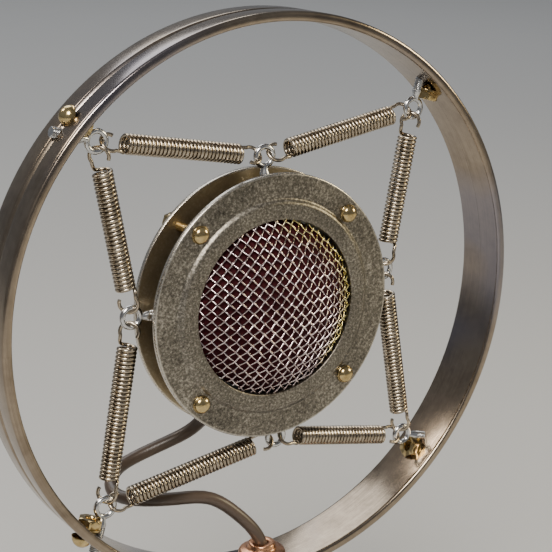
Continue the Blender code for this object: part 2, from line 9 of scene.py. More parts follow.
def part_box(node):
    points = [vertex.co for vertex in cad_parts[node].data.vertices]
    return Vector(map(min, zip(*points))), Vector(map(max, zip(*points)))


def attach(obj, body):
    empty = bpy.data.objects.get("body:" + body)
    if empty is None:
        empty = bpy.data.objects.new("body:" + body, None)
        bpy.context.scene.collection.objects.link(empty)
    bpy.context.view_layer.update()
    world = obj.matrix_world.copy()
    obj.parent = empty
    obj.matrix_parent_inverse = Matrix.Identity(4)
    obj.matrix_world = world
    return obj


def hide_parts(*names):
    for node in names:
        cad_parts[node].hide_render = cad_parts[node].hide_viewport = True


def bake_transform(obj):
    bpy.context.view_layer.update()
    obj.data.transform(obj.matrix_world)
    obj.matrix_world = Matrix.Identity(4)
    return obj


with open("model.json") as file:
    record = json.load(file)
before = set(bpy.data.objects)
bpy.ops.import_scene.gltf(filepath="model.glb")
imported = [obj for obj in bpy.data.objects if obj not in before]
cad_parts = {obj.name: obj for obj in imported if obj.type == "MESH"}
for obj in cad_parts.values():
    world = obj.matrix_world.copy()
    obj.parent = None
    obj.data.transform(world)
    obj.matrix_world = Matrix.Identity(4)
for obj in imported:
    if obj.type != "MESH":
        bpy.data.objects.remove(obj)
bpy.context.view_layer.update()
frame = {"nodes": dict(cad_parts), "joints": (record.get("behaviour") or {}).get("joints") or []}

hoopLow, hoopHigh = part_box("front_hoop")
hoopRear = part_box("rear_hoop")[1].y
ringCentre = Vector((0, 0, (hoopLow.z + hoopHigh.z) / 2))
ringOuter = (hoopHigh.x - hoopLow.x) / 2
plateLow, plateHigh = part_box("front_plate")
plateOuter = (plateHigh.x - plateLow.x) / 2
hinge = Vector(next(j["pos_m"] for j in frame["joints"] if j["name"] == "head_tilt"))
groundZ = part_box("connector_collar")[0].z
# Right, up and front in the ring's plane: pieces that repeat round it are made flat and then stood up
standUp = Matrix.Translation(ringCentre) @ Matrix.Rotation(pi / 2, 4, "X")
print("frame loaded")


# Camera, at the height and turn that look into the ring from the front left
cameraSettings = {
    "fromCentre": (-0.2161, -0.3422, 0.1244),
    "right": (0.84225, -0.53901, 0.00902),
    "down": (-0.14219, -0.23825, -0.96074),
    "lens": 97.83,
}


def addCamera(settings):
    data = bpy.data.cameras.new("camera")
    data.lens = settings["lens"]
    data.sensor_width = 36
    data.clip_start = 0.01
    camera = bpy.data.objects.new("camera", data)
    bpy.context.scene.collection.objects.link(camera)
    right, up = Vector(settings["right"]), -Vector(settings["down"])
    back = right.cross(up)
    turn = Matrix((right, up, back)).transposed().to_4x4()
    camera.matrix_world = Matrix.Translation(ringCentre + Vector(settings["fromCentre"])) @ turn
    bpy.context.scene.camera = camera


addCamera(cameraSettings)


# Shader helpers: a socket that takes part in sums, and a maker of nodes
class Signal:
    def __init__(self, finish, socket):
        self.finish, self.socket = finish, socket

    def maths(self, operation, *others):
        return self.finish.node("ShaderNodeMath", {"operation": operation}, [self, *others])

    def __add__(self, other):
        return self.maths("ADD", other)

    def __sub__(self, other):
        return self.maths("SUBTRACT", other)

    def __mul__(self, other):
        return self.maths("MULTIPLY", other)

    def __rsub__(self, other):
        return self.finish.node("ShaderNodeMath", {"operation": "SUBTRACT"}, [other, self])

    __radd__ = __add__
    __rmul__ = __mul__

    def between(self, low, high):
        return self.finish.node("ShaderNodeMapRange", {"clamp": True}, [self, low, high, 0.0, 1.0])


class Finish:
    def __init__(self, name, slot, colour, roughness, metallic=1.0, **fixed):
        self.material = bpy.data.materials.new(name)
        self.material.use_nodes = True
        self.tree = self.material.node_tree
        self.shader = self.tree.nodes["Principled BSDF"]
        self.slot = slot
        self.give("Base Color", (*colour, 1))
        self.give("Roughness", roughness)
        self.give("Metallic", metallic)
        for socket, value in fixed.items():
            self.give(socket, value)

    def node(self, kind, settings=None, values=(), output=0):
        made = self.tree.nodes.new(kind)
        for name, value in (settings or {}).items():
            if name == "stops":
                ramp = made.color_ramp.elements
                while len(ramp) < len(value):
                    ramp.new(0.5)
                for stop, (place, colour) in zip(ramp, value):
                    stop.position, stop.color = place, (*colour, 1)
            else:
                setattr(made, name, value)
        pairs = values.items() if isinstance(values, dict) else enumerate(values)
        for key, value in pairs:
            if isinstance(value, Signal):
                self.tree.links.new(value.socket, made.inputs[key])
            else:
                made.inputs[key].default_value = value
        return Signal(self, made.outputs[output])

    def give(self, socket, value):
        if isinstance(value, Signal):
            self.tree.links.new(value.socket, self.shader.inputs[socket])
        else:
            self.shader.inputs[socket].default_value = value

    def place(self, centre=(0, 0, 0)):
        at = self.node("ShaderNodeTexCoord", output=3)
        return self.node("ShaderNodeVectorMath", {"operation": "SUBTRACT"}, [at, centre])

    def split(self, vector):
        made = self.node("ShaderNodeSeparateXYZ", values=[vector]).socket.node
        return [Signal(self, made.outputs[i]) for i in range(3)]

    def vector(self, x, y, z):
        return self.node("ShaderNodeCombineXYZ", values=[x, y, z])

    def noise(self, at, scale, detail=3.0, rough=0.55, warp=0.0):
        return self.node("ShaderNodeTexNoise", values={"Vector": at, "Scale": scale, "Detail": detail,
                                                       "Roughness": rough, "Distortion": warp})

    def mix(self, factor, *colours):
        first, second = (colour if isinstance(colour, Signal) else (*colour, 1) for colour in colours)
        return self.node("ShaderNodeMix", {"data_type": "RGBA"}, {0: factor, 6: first, 7: second}, 2)

    def ramp(self, factor, *stops):
        return self.node("ShaderNodeValToRGB", {"stops": stops}, [factor])

    def bump(self, height, strength, distance):
        self.give("Normal", self.node("ShaderNodeBump", values={"Strength": strength, "Distance": distance,
                                                                "Height": height}))

    # Angle about an axis, distance from it and place along it, for turned and brushed pieces
    def polar(self, centre, axis):
        x, y, z = self.split(self.place(centre))
        across, up, along = {"X": (y, z, x), "Y": (x, z, y), "Z": (x, y, z)}[axis]
        turn = self.node("ShaderNodeMath", {"operation": "ARCTAN2"}, [up, across])
        away = (across * across + up * up).maths("SQRT")
        return turn, away, along


# Nickel with fine brushing that runs round the ring and dull stains
def brushedRound(name, slot, dark, light, centre, axis, settings):
    finish = Finish(name, slot, light, settings["roughness"])
    turn, away, along = finish.polar(centre, axis)
    lines = finish.vector(turn * settings["stretch"], away * settings["lines"], along * settings["lines"])
    brushing = finish.noise(lines, 1.0, 4.0, 0.6)
    stains = finish.noise(finish.place(centre), settings["stain"], 4.0, 0.6, 0.6)
    fine = finish.noise(finish.place(centre), settings["stain"] * 9, 3.0)
    tone = (brushing * 0.45 + stains * 0.45 + fine * 0.2).between(0.35, 0.75)
    colour = finish.mix(tone, dark, light)
    if "blued" in settings:  # patches where the polish has gone faintly blue
        patches = finish.noise(finish.place(centre), 20.0, 2.0).between(0.50, 0.66)
        colour = finish.mix(patches * 0.55, colour, settings["blued"])
    finish.give("Base Color", colour)
    finish.give("Roughness", (1 - brushing) * settings["uneven"] + stains * settings["uneven"]
                + (settings["roughness"] - settings["uneven"]))
    finish.bump(brushing, settings["depth"], 0.00004)
    return finish


# Zinc passivated steel: a fine mottled grain, with darker clouds and pale specks
def mottledZinc(settings):
    finish = Finish("mottledZinc", "plate_zinc", settings["light"], settings["roughness"])
    at = finish.place(ringCentre)
    x, y, z = finish.split(at)
    clouds = finish.noise(at, settings["clouds"], 4.0, 0.6, 0.4)
    grain = finish.noise(at, settings["grain"], 3.0, 0.65)
    specks = finish.noise(at, settings["grain"] * 2.1, 2.0).between(0.60, 0.72)
    away = (x * x + z * z).maths("SQRT")
    # A paler, smoother band along the outer rim: a painted highlight of the rounded edge
    rim = away.between(plateOuter - 0.0007, plateOuter - 0.0002)
    tone = (clouds * 0.30 + grain * 0.9).between(0.36, 0.84)
    colour = finish.ramp(tone, (0.0, settings["dark"]), (0.55, settings["middle"]), (1.0, settings["light"]))
    colour = finish.mix(specks * 0.35, colour, settings["speck"])
    # Painted light: the faces towards the drum get a warm golden colour that stands in for light falling on them
    # through the gap between the plates
    inward = 1 - (y * y).maths("SQRT").between(abs(plateHigh.y) + 0.0001, abs(plateHigh.y) + 0.0004)
    colour = finish.mix(inward * 0.75, colour, settings["inner"])
    finish.give("Base Color", finish.mix(rim * 0.6, colour, settings["speck"]))
    finish.give("Roughness", grain * 0.20 + clouds * 0.12 + (settings["roughness"] - 0.16) - rim * 0.14)
    finish.bump(grain * 0.7 + clouds * 0.3, settings["depth"], 0.00006)
    return finish


# Bright drawn or plated metal with a little tarnish and handling marks
def brightMetal(name, slot, dark, light, roughness, scale, metallic=1.0):
    finish = Finish(name, slot, light, roughness, metallic)
    at = finish.place()
    tarnish = finish.noise(at, scale, 4.0, 0.6, 0.5)
    marks = finish.noise(at, scale * 8, 3.0, 0.6)
    finish.give("Base Color", finish.mix((tarnish * 0.7 + marks * 0.4).between(0.35, 0.75), dark, light))
    finish.give("Roughness", tarnish * 0.16 + marks * 0.10 + (roughness - 0.13))
    finish.bump(marks, 0.06, 0.00003)
    return finish


def mouldedPlastic(name, slot, dark, light, roughness):
    finish = Finish(name, slot, light, roughness, 0.0)
    at = finish.place()
    grain = finish.noise(at, 2600, 2.0)
    clouds = finish.noise(at, 120, 3.0)
    finish.give("Base Color", finish.mix(clouds, dark, light))
    finish.give("Roughness", grain * 0.12 + (roughness - 0.06))
    finish.bump(grain, 0.15, 0.00004)
    return finish


# Fine woven cloth behind the mesh
def wovenCloth(settings):
    finish = Finish("innerCloth", "inner_cloth", settings["light"], 0.85, 0.0)
    finish.give("Specular IOR Level", 0.15)
    at = finish.place(ringCentre)
    x, y, z = finish.split(at)
    warp = ((x + z) * settings["threads"]).maths("SINE")
    weft = ((x - z) * settings["threads"]).maths("SINE")
    weave = (warp * weft) * 0.5 + 0.5
    clouds = finish.noise(at, 90, 3.0)
    tone = (weave * 0.5 + clouds * 0.6).between(0.2, 0.9)
    finish.give("Base Color", finish.mix(tone, settings["dark"], settings["light"]))
    finish.bump(weave, 0.4, 0.00010)
    return finish


# Rose tinted bright wire, with painted yellow light along one side of the rim
def wovenWire(settings):
    finish = brightMetal("meshWire", "grille_wire", settings["dark"], settings["light"], settings["roughness"], 240.0)
    at = finish.place(ringCentre)
    x, y, z = finish.split(at)
    clouds = finish.noise(at, 130, 3.0)
    away = (x * x + z * z).maths("SQRT") + (clouds - 0.5) * 0.006
    # Painted light: a warm yellow glow on the wires near one side of the rim, standing in for coloured light caught
    # there
    tarnish = away.between(0.0185, 0.0240) * (x + z * 0.35).between(0.006, 0.014)
    tone = (finish.noise(at, 240, 4.0) * 1.1).between(0.35, 0.75)
    rose = finish.mix(tone, settings["dark"], settings["light"])
    finish.give("Base Color", finish.mix(tarnish * 0.85, rose, settings["gilt"]))
    return finish


nickelSettings = {"roughness": 0.19, "uneven": 0.08, "stretch": 3.0, "lines": 5200.0, "stain": 60.0, "depth": 0.08,
                  "blued": (0.20, 0.205, 0.27)}
ringNickel = brushedRound("ringNickel", "ring_nickel", (0.15, 0.115, 0.082), (0.42, 0.345, 0.262), ringCentre, "Y",
                          nickelSettings)
# The inner colour is painted light on the plates' faces towards the drum
plateZinc = mottledZinc({"dark": (0.045, 0.04, 0.034), "middle": (0.19, 0.172, 0.14), "light": (0.54, 0.50, 0.425),
                         "speck": (0.80, 0.75, 0.66), "inner": (0.42, 0.34, 0.215), "clouds": 70.0, "grain": 1500.0,
                         "roughness": 0.40, "depth": 0.5})
tubeSettings = {"roughness": 0.24, "uneven": 0.08, "stretch": 3.0, "lines": 4200.0, "stain": 45.0, "depth": 0.08}
bodyCopper = brushedRound("bodyCopper", "body_copper", (0.26, 0.105, 0.05), (0.66, 0.33, 0.19), (0, 0, 0), "Z",
                          tubeSettings)
capBrass = brushedRound("capBrass", "brass", (0.32, 0.21, 0.08), (0.72, 0.53, 0.25), (0, 0, 0), "Z", tubeSettings)
brass = brightMetal("screwBrass", "brass", (0.32, 0.22, 0.09), (0.74, 0.58, 0.29), 0.17, 300.0)
copper = brightMetal("glandCopper", "body_copper", (0.40, 0.17, 0.08), (0.85, 0.47, 0.27), 0.28, 260.0)
springSteel = brightMetal("springSteel", "spring_steel", (0.24, 0.195, 0.14), (0.58, 0.505, 0.395), 0.24, 260.0)
brightZinc = brightMetal("brightZinc", "bright_zinc", (0.38, 0.375, 0.37), (0.80, 0.80, 0.79), 0.20, 300.0)
meshWire = wovenWire({"dark": (0.32, 0.25, 0.25), "light": (0.76, 0.65, 0.64), "gilt": (0.80, 0.70, 0.26),
                      "roughness": 0.22})
gold = brightMetal("diaphragmGold", "diaphragm_gold", (0.66, 0.47, 0.16), (0.90, 0.72, 0.34), 0.20, 200.0)
darkMetal = brightMetal("darkAnodised", "dark_anodised", (0.025, 0.024, 0.024), (0.085, 0.08, 0.075), 0.42, 200.0)
blackPlastic = mouldedPlastic("blackPlastic", "black_plastic", (0.012, 0.012, 0.013), (0.04, 0.04, 0.042), 0.45)
boardGreen = mouldedPlastic("boardGreen", "circuit_board", (0.02, 0.10, 0.045), (0.05, 0.20, 0.09), 0.40)
innerCloth = wovenCloth({"dark": (0.010, 0.001, 0.0015), "light": (0.065, 0.007, 0.011), "threads": 9000.0})
cableJacket = mouldedPlastic("cableJacket", "cable_jacket", (0.035, 0.024, 0.017), (0.10, 0.07, 0.05), 0.36)
print("materials made")


# Shape helpers
def newPiece(name, mesh, finish, smoothBelow=35):
    piece = bpy.data.objects.new(name, mesh)
    bpy.context.scene.collection.objects.link(piece)
    mesh.materials.clear()
    mesh.materials.append(finish.material)
    mesh.shade_smooth()
    mesh.set_sharp_from_angle(angle=radians(smoothBelow))
    return piece


def settle(name, source, finish, smoothBelow=35):
    # The object as its modifiers leave it, as a plain mesh at the origin
    bpy.context.view_layer.update()
    graph = bpy.context.evaluated_depsgraph_get()
    mesh = bpy.data.meshes.new_from_object(source.evaluated_get(graph))
    mesh.transform(source.matrix_world)
    bpy.data.objects.remove(source)
    return newPiece(name, mesh, finish, smoothBelow)


def keep(piece, body, finish, *nodes):
    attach(piece, body)
    if nodes:
        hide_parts(*nodes)
    return piece


def softened(corners):
    # Outline points with each corner (radius, height, rounding) turned into a short arc
    found = []
    count = len(corners)
    for i, (r, h, rounding) in enumerate(corners):
        here = Vector((r, h))
        if not rounding:
            found.append(here)
            continue
        before = Vector(corners[(i - 1) % count][:2]) - here
        after = Vector(corners[(i + 1) % count][:2]) - here
        reach = min(rounding, before.length * 0.49, after.length * 0.49)
        start, end = here + before.normalized() * reach, here + after.normalized() * reach
        for step in range(5):
            t = step / 4
            found.append(start * (1 - t) ** 2 + here * (2 * t * (1 - t)) + end * t**2)
    return [(p.x, p.y) for p in found]


def turnedMesh(outline, steps, closed=False, flutes=0, fluteDepth=0.0, fluteRange=(0, 0)):
    # The outline spun about Z. It runs down its outer side, and flutes are shallow grooves between two heights
    mesh = bpy.data.meshes.new("turned")
    shape = bmesh.new()
    rings = []
    for r, h in outline:
        if r < 1e-7:
            rings.append([shape.verts.new((0, 0, h))])
            continue
        ring = []
        for i in range(steps):
            a = 2 * pi * i / steps
            away = r
            if flutes and fluteRange[0] <= h <= fluteRange[1]:
                away -= fluteDepth * (0.5 - 0.5 * cos(flutes * a))
            ring.append(shape.verts.new((away * cos(a), away * sin(a), h)))
        rings.append(ring)
    pairs = list(zip(rings, rings[1:])) + ([(rings[-1], rings[0])] if closed else [])
    for upper, lower in pairs:
        for i in range(steps):
            j = (i + 1) % steps
            corner = [upper[i % len(upper)], lower[i % len(lower)], lower[j % len(lower)], upper[j % len(upper)]]
            kept = [v for n, v in enumerate(corner) if v not in corner[:n]]
            if len(kept) > 2:
                shape.faces.new(kept)
    bmesh.ops.recalc_face_normals(shape, faces=shape.faces)
    shape.to_mesh(mesh)
    shape.free()
    return mesh


def turned(name, outline, steps, finish, matrix, closed=False, **more):
    mesh = turnedMesh(outline, steps, closed, **more)
    mesh.transform(matrix)
    return newPiece(name, mesh, finish)


def joinedMesh(*meshes):
    shape = bmesh.new()
    for mesh in meshes:
        shape.from_mesh(mesh)
    result = bpy.data.meshes.new("joined")
    shape.to_mesh(result)
    shape.free()
    return result


# A cubic B-spline through a route's control points, from the first to the last
def splined(route, spacing):
    places = [Vector(point) for point in route]
    places = [2 * places[0] - places[1], *places, 2 * places[-1] - places[-2]]
    found = []
    for a, b, c, d in zip(places, places[1:], places[2:], places[3:]):
        count = max(1, round((c - b).length / spacing))
        for i in range(count):
            t = i / count
            found.append(((1 - t) ** 3 * a + (3 * t**3 - 6 * t**2 + 4) * b
                          + (3 * t + 3 * t**2 - 3 * t**3 + 1) * c + t**3 * d) / 6)
    return [*found, places[-2]]


# Geometry Nodes: a round wire along every line of a mesh
def wireTree():
    tree = bpy.data.node_groups.new("roundWire", "GeometryNodeTree")
    face = tree.interface
    face.new_socket("Geometry", in_out="INPUT", socket_type="NodeSocketGeometry")
    for name, kind, value in (("Wire radius", "NodeSocketFloat", 0.0005), ("Sides", "NodeSocketInt", 8)):
        socket = face.new_socket(name, in_out="INPUT", socket_type=kind)
        socket.default_value = value
    face.new_socket("Finish", in_out="INPUT", socket_type="NodeSocketMaterial")
    face.new_socket("Geometry", in_out="OUTPUT", socket_type="NodeSocketGeometry")
    add, link = tree.nodes.new, tree.links.new
    given, made = add("NodeGroupInput"), add("NodeGroupOutput")
    line, circle = add("GeometryNodeMeshToCurve"), add("GeometryNodeCurvePrimitiveCircle")
    sweep = add("GeometryNodeCurveToMesh")
    real, paint = add("GeometryNodeRealizeInstances"), add("GeometryNodeSetMaterial")
    link(given.outputs["Geometry"], line.inputs["Mesh"])
    link(given.outputs["Sides"], circle.inputs["Resolution"])
    link(given.outputs["Wire radius"], circle.inputs["Radius"])
    link(line.outputs["Curve"], sweep.inputs["Curve"])
    link(circle.outputs["Curve"], sweep.inputs["Profile Curve"])
    sweep.inputs["Fill Caps"].default_value = True
    link(sweep.outputs["Mesh"], real.inputs["Geometry"])
    link(real.outputs["Geometry"], paint.inputs["Geometry"])
    link(given.outputs["Finish"], paint.inputs["Material"])
    link(paint.outputs["Geometry"], made.inputs["Geometry"])
    return tree


# Geometry Nodes: one piece repeated round a circle, its +X outward and +Z to the front
def circleTree():
    tree = bpy.data.node_groups.new("roundTheCircle", "GeometryNodeTree")
    face = tree.interface
    face.new_socket("Geometry", in_out="INPUT", socket_type="NodeSocketGeometry")
    face.new_socket("Count", in_out="INPUT", socket_type="NodeSocketInt").default_value = 4
    face.new_socket("Circle radius", in_out="INPUT", socket_type="NodeSocketFloat").default_value = 0.03
    face.new_socket("First angle", in_out="INPUT", socket_type="NodeSocketFloat").default_value = 0.0
    face.new_socket("Finish", in_out="INPUT", socket_type="NodeSocketMaterial")
    face.new_socket("Geometry", in_out="OUTPUT", socket_type="NodeSocketGeometry")
    add, link = tree.nodes.new, tree.links.new
    given, made = add("NodeGroupInput"), add("NodeGroupOutput")
    circle, index = add("GeometryNodeMeshCircle"), add("GeometryNodeInputIndex")
    share, angle = add("ShaderNodeMath"), add("ShaderNodeMath")
    share.operation, angle.operation = "DIVIDE", "MULTIPLY_ADD"
    euler, start, turn = add("ShaderNodeCombineXYZ"), add("ShaderNodeCombineXYZ"), add("GeometryNodeTransform")
    copies = add("GeometryNodeInstanceOnPoints")
    real, paint = add("GeometryNodeRealizeInstances"), add("GeometryNodeSetMaterial")
    link(given.outputs["Count"], circle.inputs["Vertices"])
    link(given.outputs["Circle radius"], circle.inputs["Radius"])
    link(index.outputs[0], share.inputs[0])
    link(given.outputs["Count"], share.inputs[1])
    link(share.outputs[0], angle.inputs[0])
    angle.inputs[1].default_value = 2 * pi
    link(angle.outputs[0], euler.inputs["Z"])
    link(circle.outputs["Mesh"], copies.inputs["Points"])
    link(given.outputs["Geometry"], copies.inputs["Instance"])
    link(euler.outputs[0], copies.inputs["Rotation"])
    link(given.outputs["First angle"], start.inputs["Z"])
    link(copies.outputs["Instances"], turn.inputs["Geometry"])
    link(start.outputs[0], turn.inputs["Rotation"])
    link(turn.outputs["Geometry"], real.inputs["Geometry"])
    link(real.outputs["Geometry"], paint.inputs["Geometry"])
    link(given.outputs["Finish"], paint.inputs["Material"])
    link(paint.outputs["Geometry"], made.inputs["Geometry"])
    return tree


roundWire, roundTheCircle = wireTree(), circleTree()


def grown(name, mesh, tree, values, finish, matrix=Matrix(), smoothBelow=40):
    # The mesh after one of the trees above, as a plain mesh
    source = bpy.data.objects.new(name + "Source", mesh)
    bpy.context.scene.collection.objects.link(source)
    modifier = source.modifiers.new("grow", "NODES")
    modifier.node_group = tree
    sockets = {s.name: s.identifier for s in tree.interface.items_tree
               if s.item_type == "SOCKET" and s.in_out == "INPUT"}
    for key, value in {**values, "Finish": finish.material}.items():
        modifier[sockets[key]] = value
    source.matrix_world = matrix
    return settle(name, source, finish, smoothBelow)


def lineMesh(lines, closed=False):
    points, edges = [], []
    for line in lines:
        first = len(points)
        points += [tuple(p) for p in line]
        edges += [(first + i, first + i + 1) for i in range(len(line) - 1)]
        if closed:
            edges.append((len(points) - 1, first))
    mesh = bpy.data.meshes.new("lines")
    mesh.from_pydata(points, edges, [])
    return mesh


def wire(name, lines, radius, sides, finish, matrix=Matrix(), closed=False):
    return grown(name, lineMesh(lines, closed), roundWire, {"Wire radius": radius, "Sides": sides}, finish, matrix, 60)


def fourRound(name, mesh, radius, firstAngle, finish):
    return grown(name, mesh, roundTheCircle, {"Count": 4, "Circle radius": radius, "First angle": firstAngle},
                 finish, standUp)


diagonal = pi / 4


# The two hoops of the ring, with a V seam between them
hoopSettings = {"wall": 0.0028, "rounding": 0.0010, "seamDepth": 0.0009, "steps": 256}


def addHoops(settings):
    inner = ringOuter - settings["wall"]
    seam, depth, rounding = abs(hoopHigh.y), settings["seamDepth"], settings["rounding"]
    outline = softened([
        (ringOuter, hoopRear, rounding), (ringOuter, seam + depth, depth * 0.5), (ringOuter - depth, seam, 0),
        (ringOuter - depth * 1.2, 0.00002, 0), (inner, 0.00002, 0), (inner, hoopRear, rounding),
    ])
    for name, facing in (("front", Matrix()), ("rear", Matrix.Rotation(pi, 4, "X"))):
        hoop = turned(name + "Hoop", outline, settings["steps"], ringNickel, standUp @ facing, True)
        keep(hoop, "head", ringNickel, name + "_hoop")


# Eyes: a loop of wire with a weld, on a threaded shank. The ring's have an acorn nut outside
eyeSettings = {"loop": 0.0027, "wire": 0.0008, "ringAt": 0.0719, "capsuleAt": 0.0418, "shank": 0.0015,
               "boltEnd": 0.0030, "capsuleSeat": 0.0268, "neck": 0.0020, "threadPitch": 0.0005,
               "capsuleTurns": (5, 90, 177, 276)}


def eyeMesh(shankLength, shankRadius, settings):
    loop = bpy.data.meshes.new("loop")
    shape = bmesh.new()
    around, across = 40, 14
    rings = []
    for i in range(around):
        a = 2 * pi * i / around
        rings.append([shape.verts.new(((settings["loop"] + settings["wire"] * cos(b)) * cos(a),
                                       (settings["loop"] + settings["wire"] * cos(b)) * sin(a),
                                       settings["wire"] * sin(b)))
                      for b in (2 * pi * j / across for j in range(across))])
    for i in range(around):
        for j in range(across):
            shape.faces.new((rings[i][j], rings[(i + 1) % around][j], rings[(i + 1) % around][(j + 1) % across],
                             rings[i][(j + 1) % across]))
    bmesh.ops.recalc_face_normals(shape, faces=shape.faces)
    shape.to_mesh(loop)
    shape.free()
    start = settings["loop"] + settings["wire"] * 0.2
    neckLength, pitch = settings["neck"], settings["threadPitch"]
    neck = turnedMesh([(0, 0.0026), (shankRadius * 0.62, 0.0024), (shankRadius * 0.72, 0.0012),
                       (shankRadius * 0.98, 0.0004), (shankRadius, 0), (0, 0)], 20)
    neck.transform(Matrix.Translation((start + neckLength + 0.0002, 0, 0)) @ Matrix.Rotation(-pi / 2, 4, "Y"))
    length = shankLength - start - neckLength
    turns = int(length / pitch)
    outline = [(0, length)]
    for i in range(turns):
        top = length - i * pitch
        outline += [(shankRadius * 0.86, top), (shankRadius, top - pitch * 0.36), (shankRadius, top - pitch * 0.64)]
    outline += [(shankRadius * 0.86, 0), (0, 0)]
    thread = turnedMesh(outline, 20)
    thread.transform(Matrix.Translation((start + neckLength, 0, 0)) @ Matrix.Rotation(pi / 2, 4, "Y"))
    return joinedMesh(loop, neck, thread)


def addEyes(settings):
    bolt = eyeMesh(ringOuter + settings["boltEnd"] - settings["ringAt"], settings["shank"], settings)
    eyes = fourRound("ringEyes", bolt, settings["ringAt"], diagonal, brightZinc)
    keep(eyes, "head", brightZinc, *(f"ring_eyebolt_{i}" for i in range(1, 5)))
    shank = settings["capsuleAt"] - settings["capsuleSeat"]
    inward = eyeMesh(shank, settings["shank"], settings)
    inward.transform(Matrix.Translation((settings["capsuleAt"], 0, 0)) @ Matrix.Rotation(pi, 4, "Z"))
    turnedEyes = []
    for turn in settings["capsuleTurns"]:
        turnedEyes.append(inward.copy())
        turnedEyes[-1].transform(standUp @ Matrix.Rotation(radians(turn), 4, "Z"))
    eyes = newPiece("capsuleEyes", joinedMesh(*turnedEyes), brightZinc)
    keep(eyes, "capsule", brightZinc, *(f"capsule_eye_{i}" for i in range(1, 5)))


# Hex nuts with both faces chamfered, and acorn nuts
nutSettings = {"flats": 0.00635, "height": 0.0025, "bore": 0.0015, "washer": 0.0036,
               "washerThickness": 0.0006}


def nutMesh(settings, steps=72):
    # About X, from its seat at 0 inward to -height, with the corners cut round at both faces
    half, height, bore = settings["flats"] / 2, settings["height"], settings["bore"]
    rows = []
    for share, cut in ((0.0, True), (0.10, False), (0.90, False), (1.0, True)):
        row = []
        for i in range(steps):
            a = 2 * pi * i / steps
            away = half / cos((a + pi / 6) % (pi / 3) - pi / 6)
            row.append((min(away, half * 0.985) if cut else away, a, height * share))
        rows.append(row)
    mesh = bpy.data.meshes.new("nut")
    shape = bmesh.new()
    rings = []
    for row in rows:
        rings.append([shape.verts.new((-h, r * sin(a), r * cos(a))) for r, a, h in row])
    for h, r in ((height, bore * 1.12), (height * 0.90, bore), (height * 0.1, bore), (0.0, bore * 1.12)):
        rings.append([shape.verts.new((-h, r * sin(2 * pi * i / steps), r * cos(2 * pi * i / steps)))
                      for i in range(steps)])
    for upper, lower in zip(rings, rings[1:] + rings[:1]):
        for i in range(steps):
            j = (i + 1) % steps
            shape.faces.new((upper[i], upper[j], lower[j], lower[i]))
    bmesh.ops.recalc_face_normals(shape, faces=shape.faces)
    shape.to_mesh(mesh)
    shape.free()
    return mesh


def addRingNuts(settings):
    seat = ringOuter - hoopSettings["wall"]
    # A thin washer fills the space to the ring's inner face
    wide, thick, bore = settings["washer"], settings["washerThickness"], settings["bore"]
    washer = turnedMesh(softened([(wide, thick, 0.0002), (wide, 0, 0), (bore, 0, 0), (bore, thick, 0)]), 40, True)
    washer.transform(Matrix.Translation((-0.0007, 0, 0)) @ Matrix.Rotation(pi / 2, 4, "Y"))
    nut = nutMesh(settings)
    nut.transform(Matrix.Translation((-thick, 0, 0)))
    nuts = fourRound("ringNuts", joinedMesh(washer, nut), seat, diagonal, brass)
    keep(nuts, "head", brass, *(f"ring_nut_{i}" for i in range(1, 5)))
    acorn = turnedMesh([(0, 0.0030), (0.0012, 0.00275), (0.0021, 0.0021), (0.0027, 0.0012), (0.0028, 0.0004),
                        (0.0030, 0.0003), (0.0030, 0.0)], 32)
    acorn.transform(Matrix.Rotation(pi / 2, 4, "Y"))
    caps = fourRound("acornNuts", acorn, ringOuter - 0.0001, diagonal, brass)
    keep(caps, "head", brass)


# The capsule's plates: pressed discs with a raised step round the opening
plateSettings = {"opening": 0.0252, "step": 0.0304, "stepHeight": 0.0010, "thickness": 0.0016, "rounding": 0.00045,
                 "recess": 0.0288, "seat": 0.0057, "slope": 0.0010, "drumWall": 0.0027, "steps": 224}


def addPlates(settings):
    inside = abs(plateHigh.y)
    outside = inside + settings["thickness"]
    crown = outside + settings["stepHeight"]
    rounding = settings["rounding"]
    outline = softened([
        (plateOuter, outside, rounding), (plateOuter, inside, rounding * 0.6), (settings["recess"], inside, 0),
        (settings["recess"], settings["seat"], 0), (settings["opening"], settings["seat"], 0),
        (settings["opening"], crown, rounding), (settings["step"] - settings["slope"] / 2, crown, rounding * 1.6),
        (settings["step"] + settings["slope"] / 2, outside, rounding * 0.9),
    ])
    for name, facing in (("front", Matrix()), ("rear", Matrix.Rotation(pi, 4, "X"))):
        plate = turned(name + "Plate", outline, settings["steps"], plateZinc, standUp @ facing, True)
        keep(plate, "capsule", plateZinc, name + "_plate")
    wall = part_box("drum")[1]
    half, away = wall.y - 0.0001, wall.x
    inner = away - settings["drumWall"]
    outline = softened([(away, half, 0.0003), (away, -half, 0.0003), (inner, -half, 0), (inner, half, 0)])
    drum = turned("drumWall", outline, 160, darkMetal, standUp, True)
    keep(drum, "capsule", darkMetal, "drum")


# Woven wire mesh over a spherical cap: an even net, the wires passing over and under each other
grilleSettings = {"pitch": 0.00226, "wire": 0.00026, "rise": 0.0084, "base": 0.0251, "baseHeight": 0.0061,
                  "trim": 0.0251, "fine": 4, "sides": 8, "clothDrop": 0.0013, "clothRadius": 0.0246,
                  "clothFoot": 0.0048, "clothWall": 0.0003}


def netPoints(settings):
    radius = (settings["base"] ** 2 + settings["rise"] ** 2) / (2 * settings["rise"])
    fine = settings["fine"]
    step = settings["pitch"] / fine / radius
    reach = int(1.15 * settings["trim"] * fine / settings["pitch"]) + fine
    quarter = {}
    for i in range(reach + 1):
        quarter[i, 0] = Vector((sin(i * step), 0, cos(i * step)))
        quarter[0, i] = Vector((0, sin(i * step), cos(i * step)))
    for i in range(reach):
        for j in range(reach):
            here, right, up = quarter[i, j], quarter[i + 1, j], quarter[i, j + 1]
            normal = right.cross(up).normalized()
            quarter[i + 1, j + 1] = here - 2 * here.dot(normal) * normal
    return quarter, reach, radius


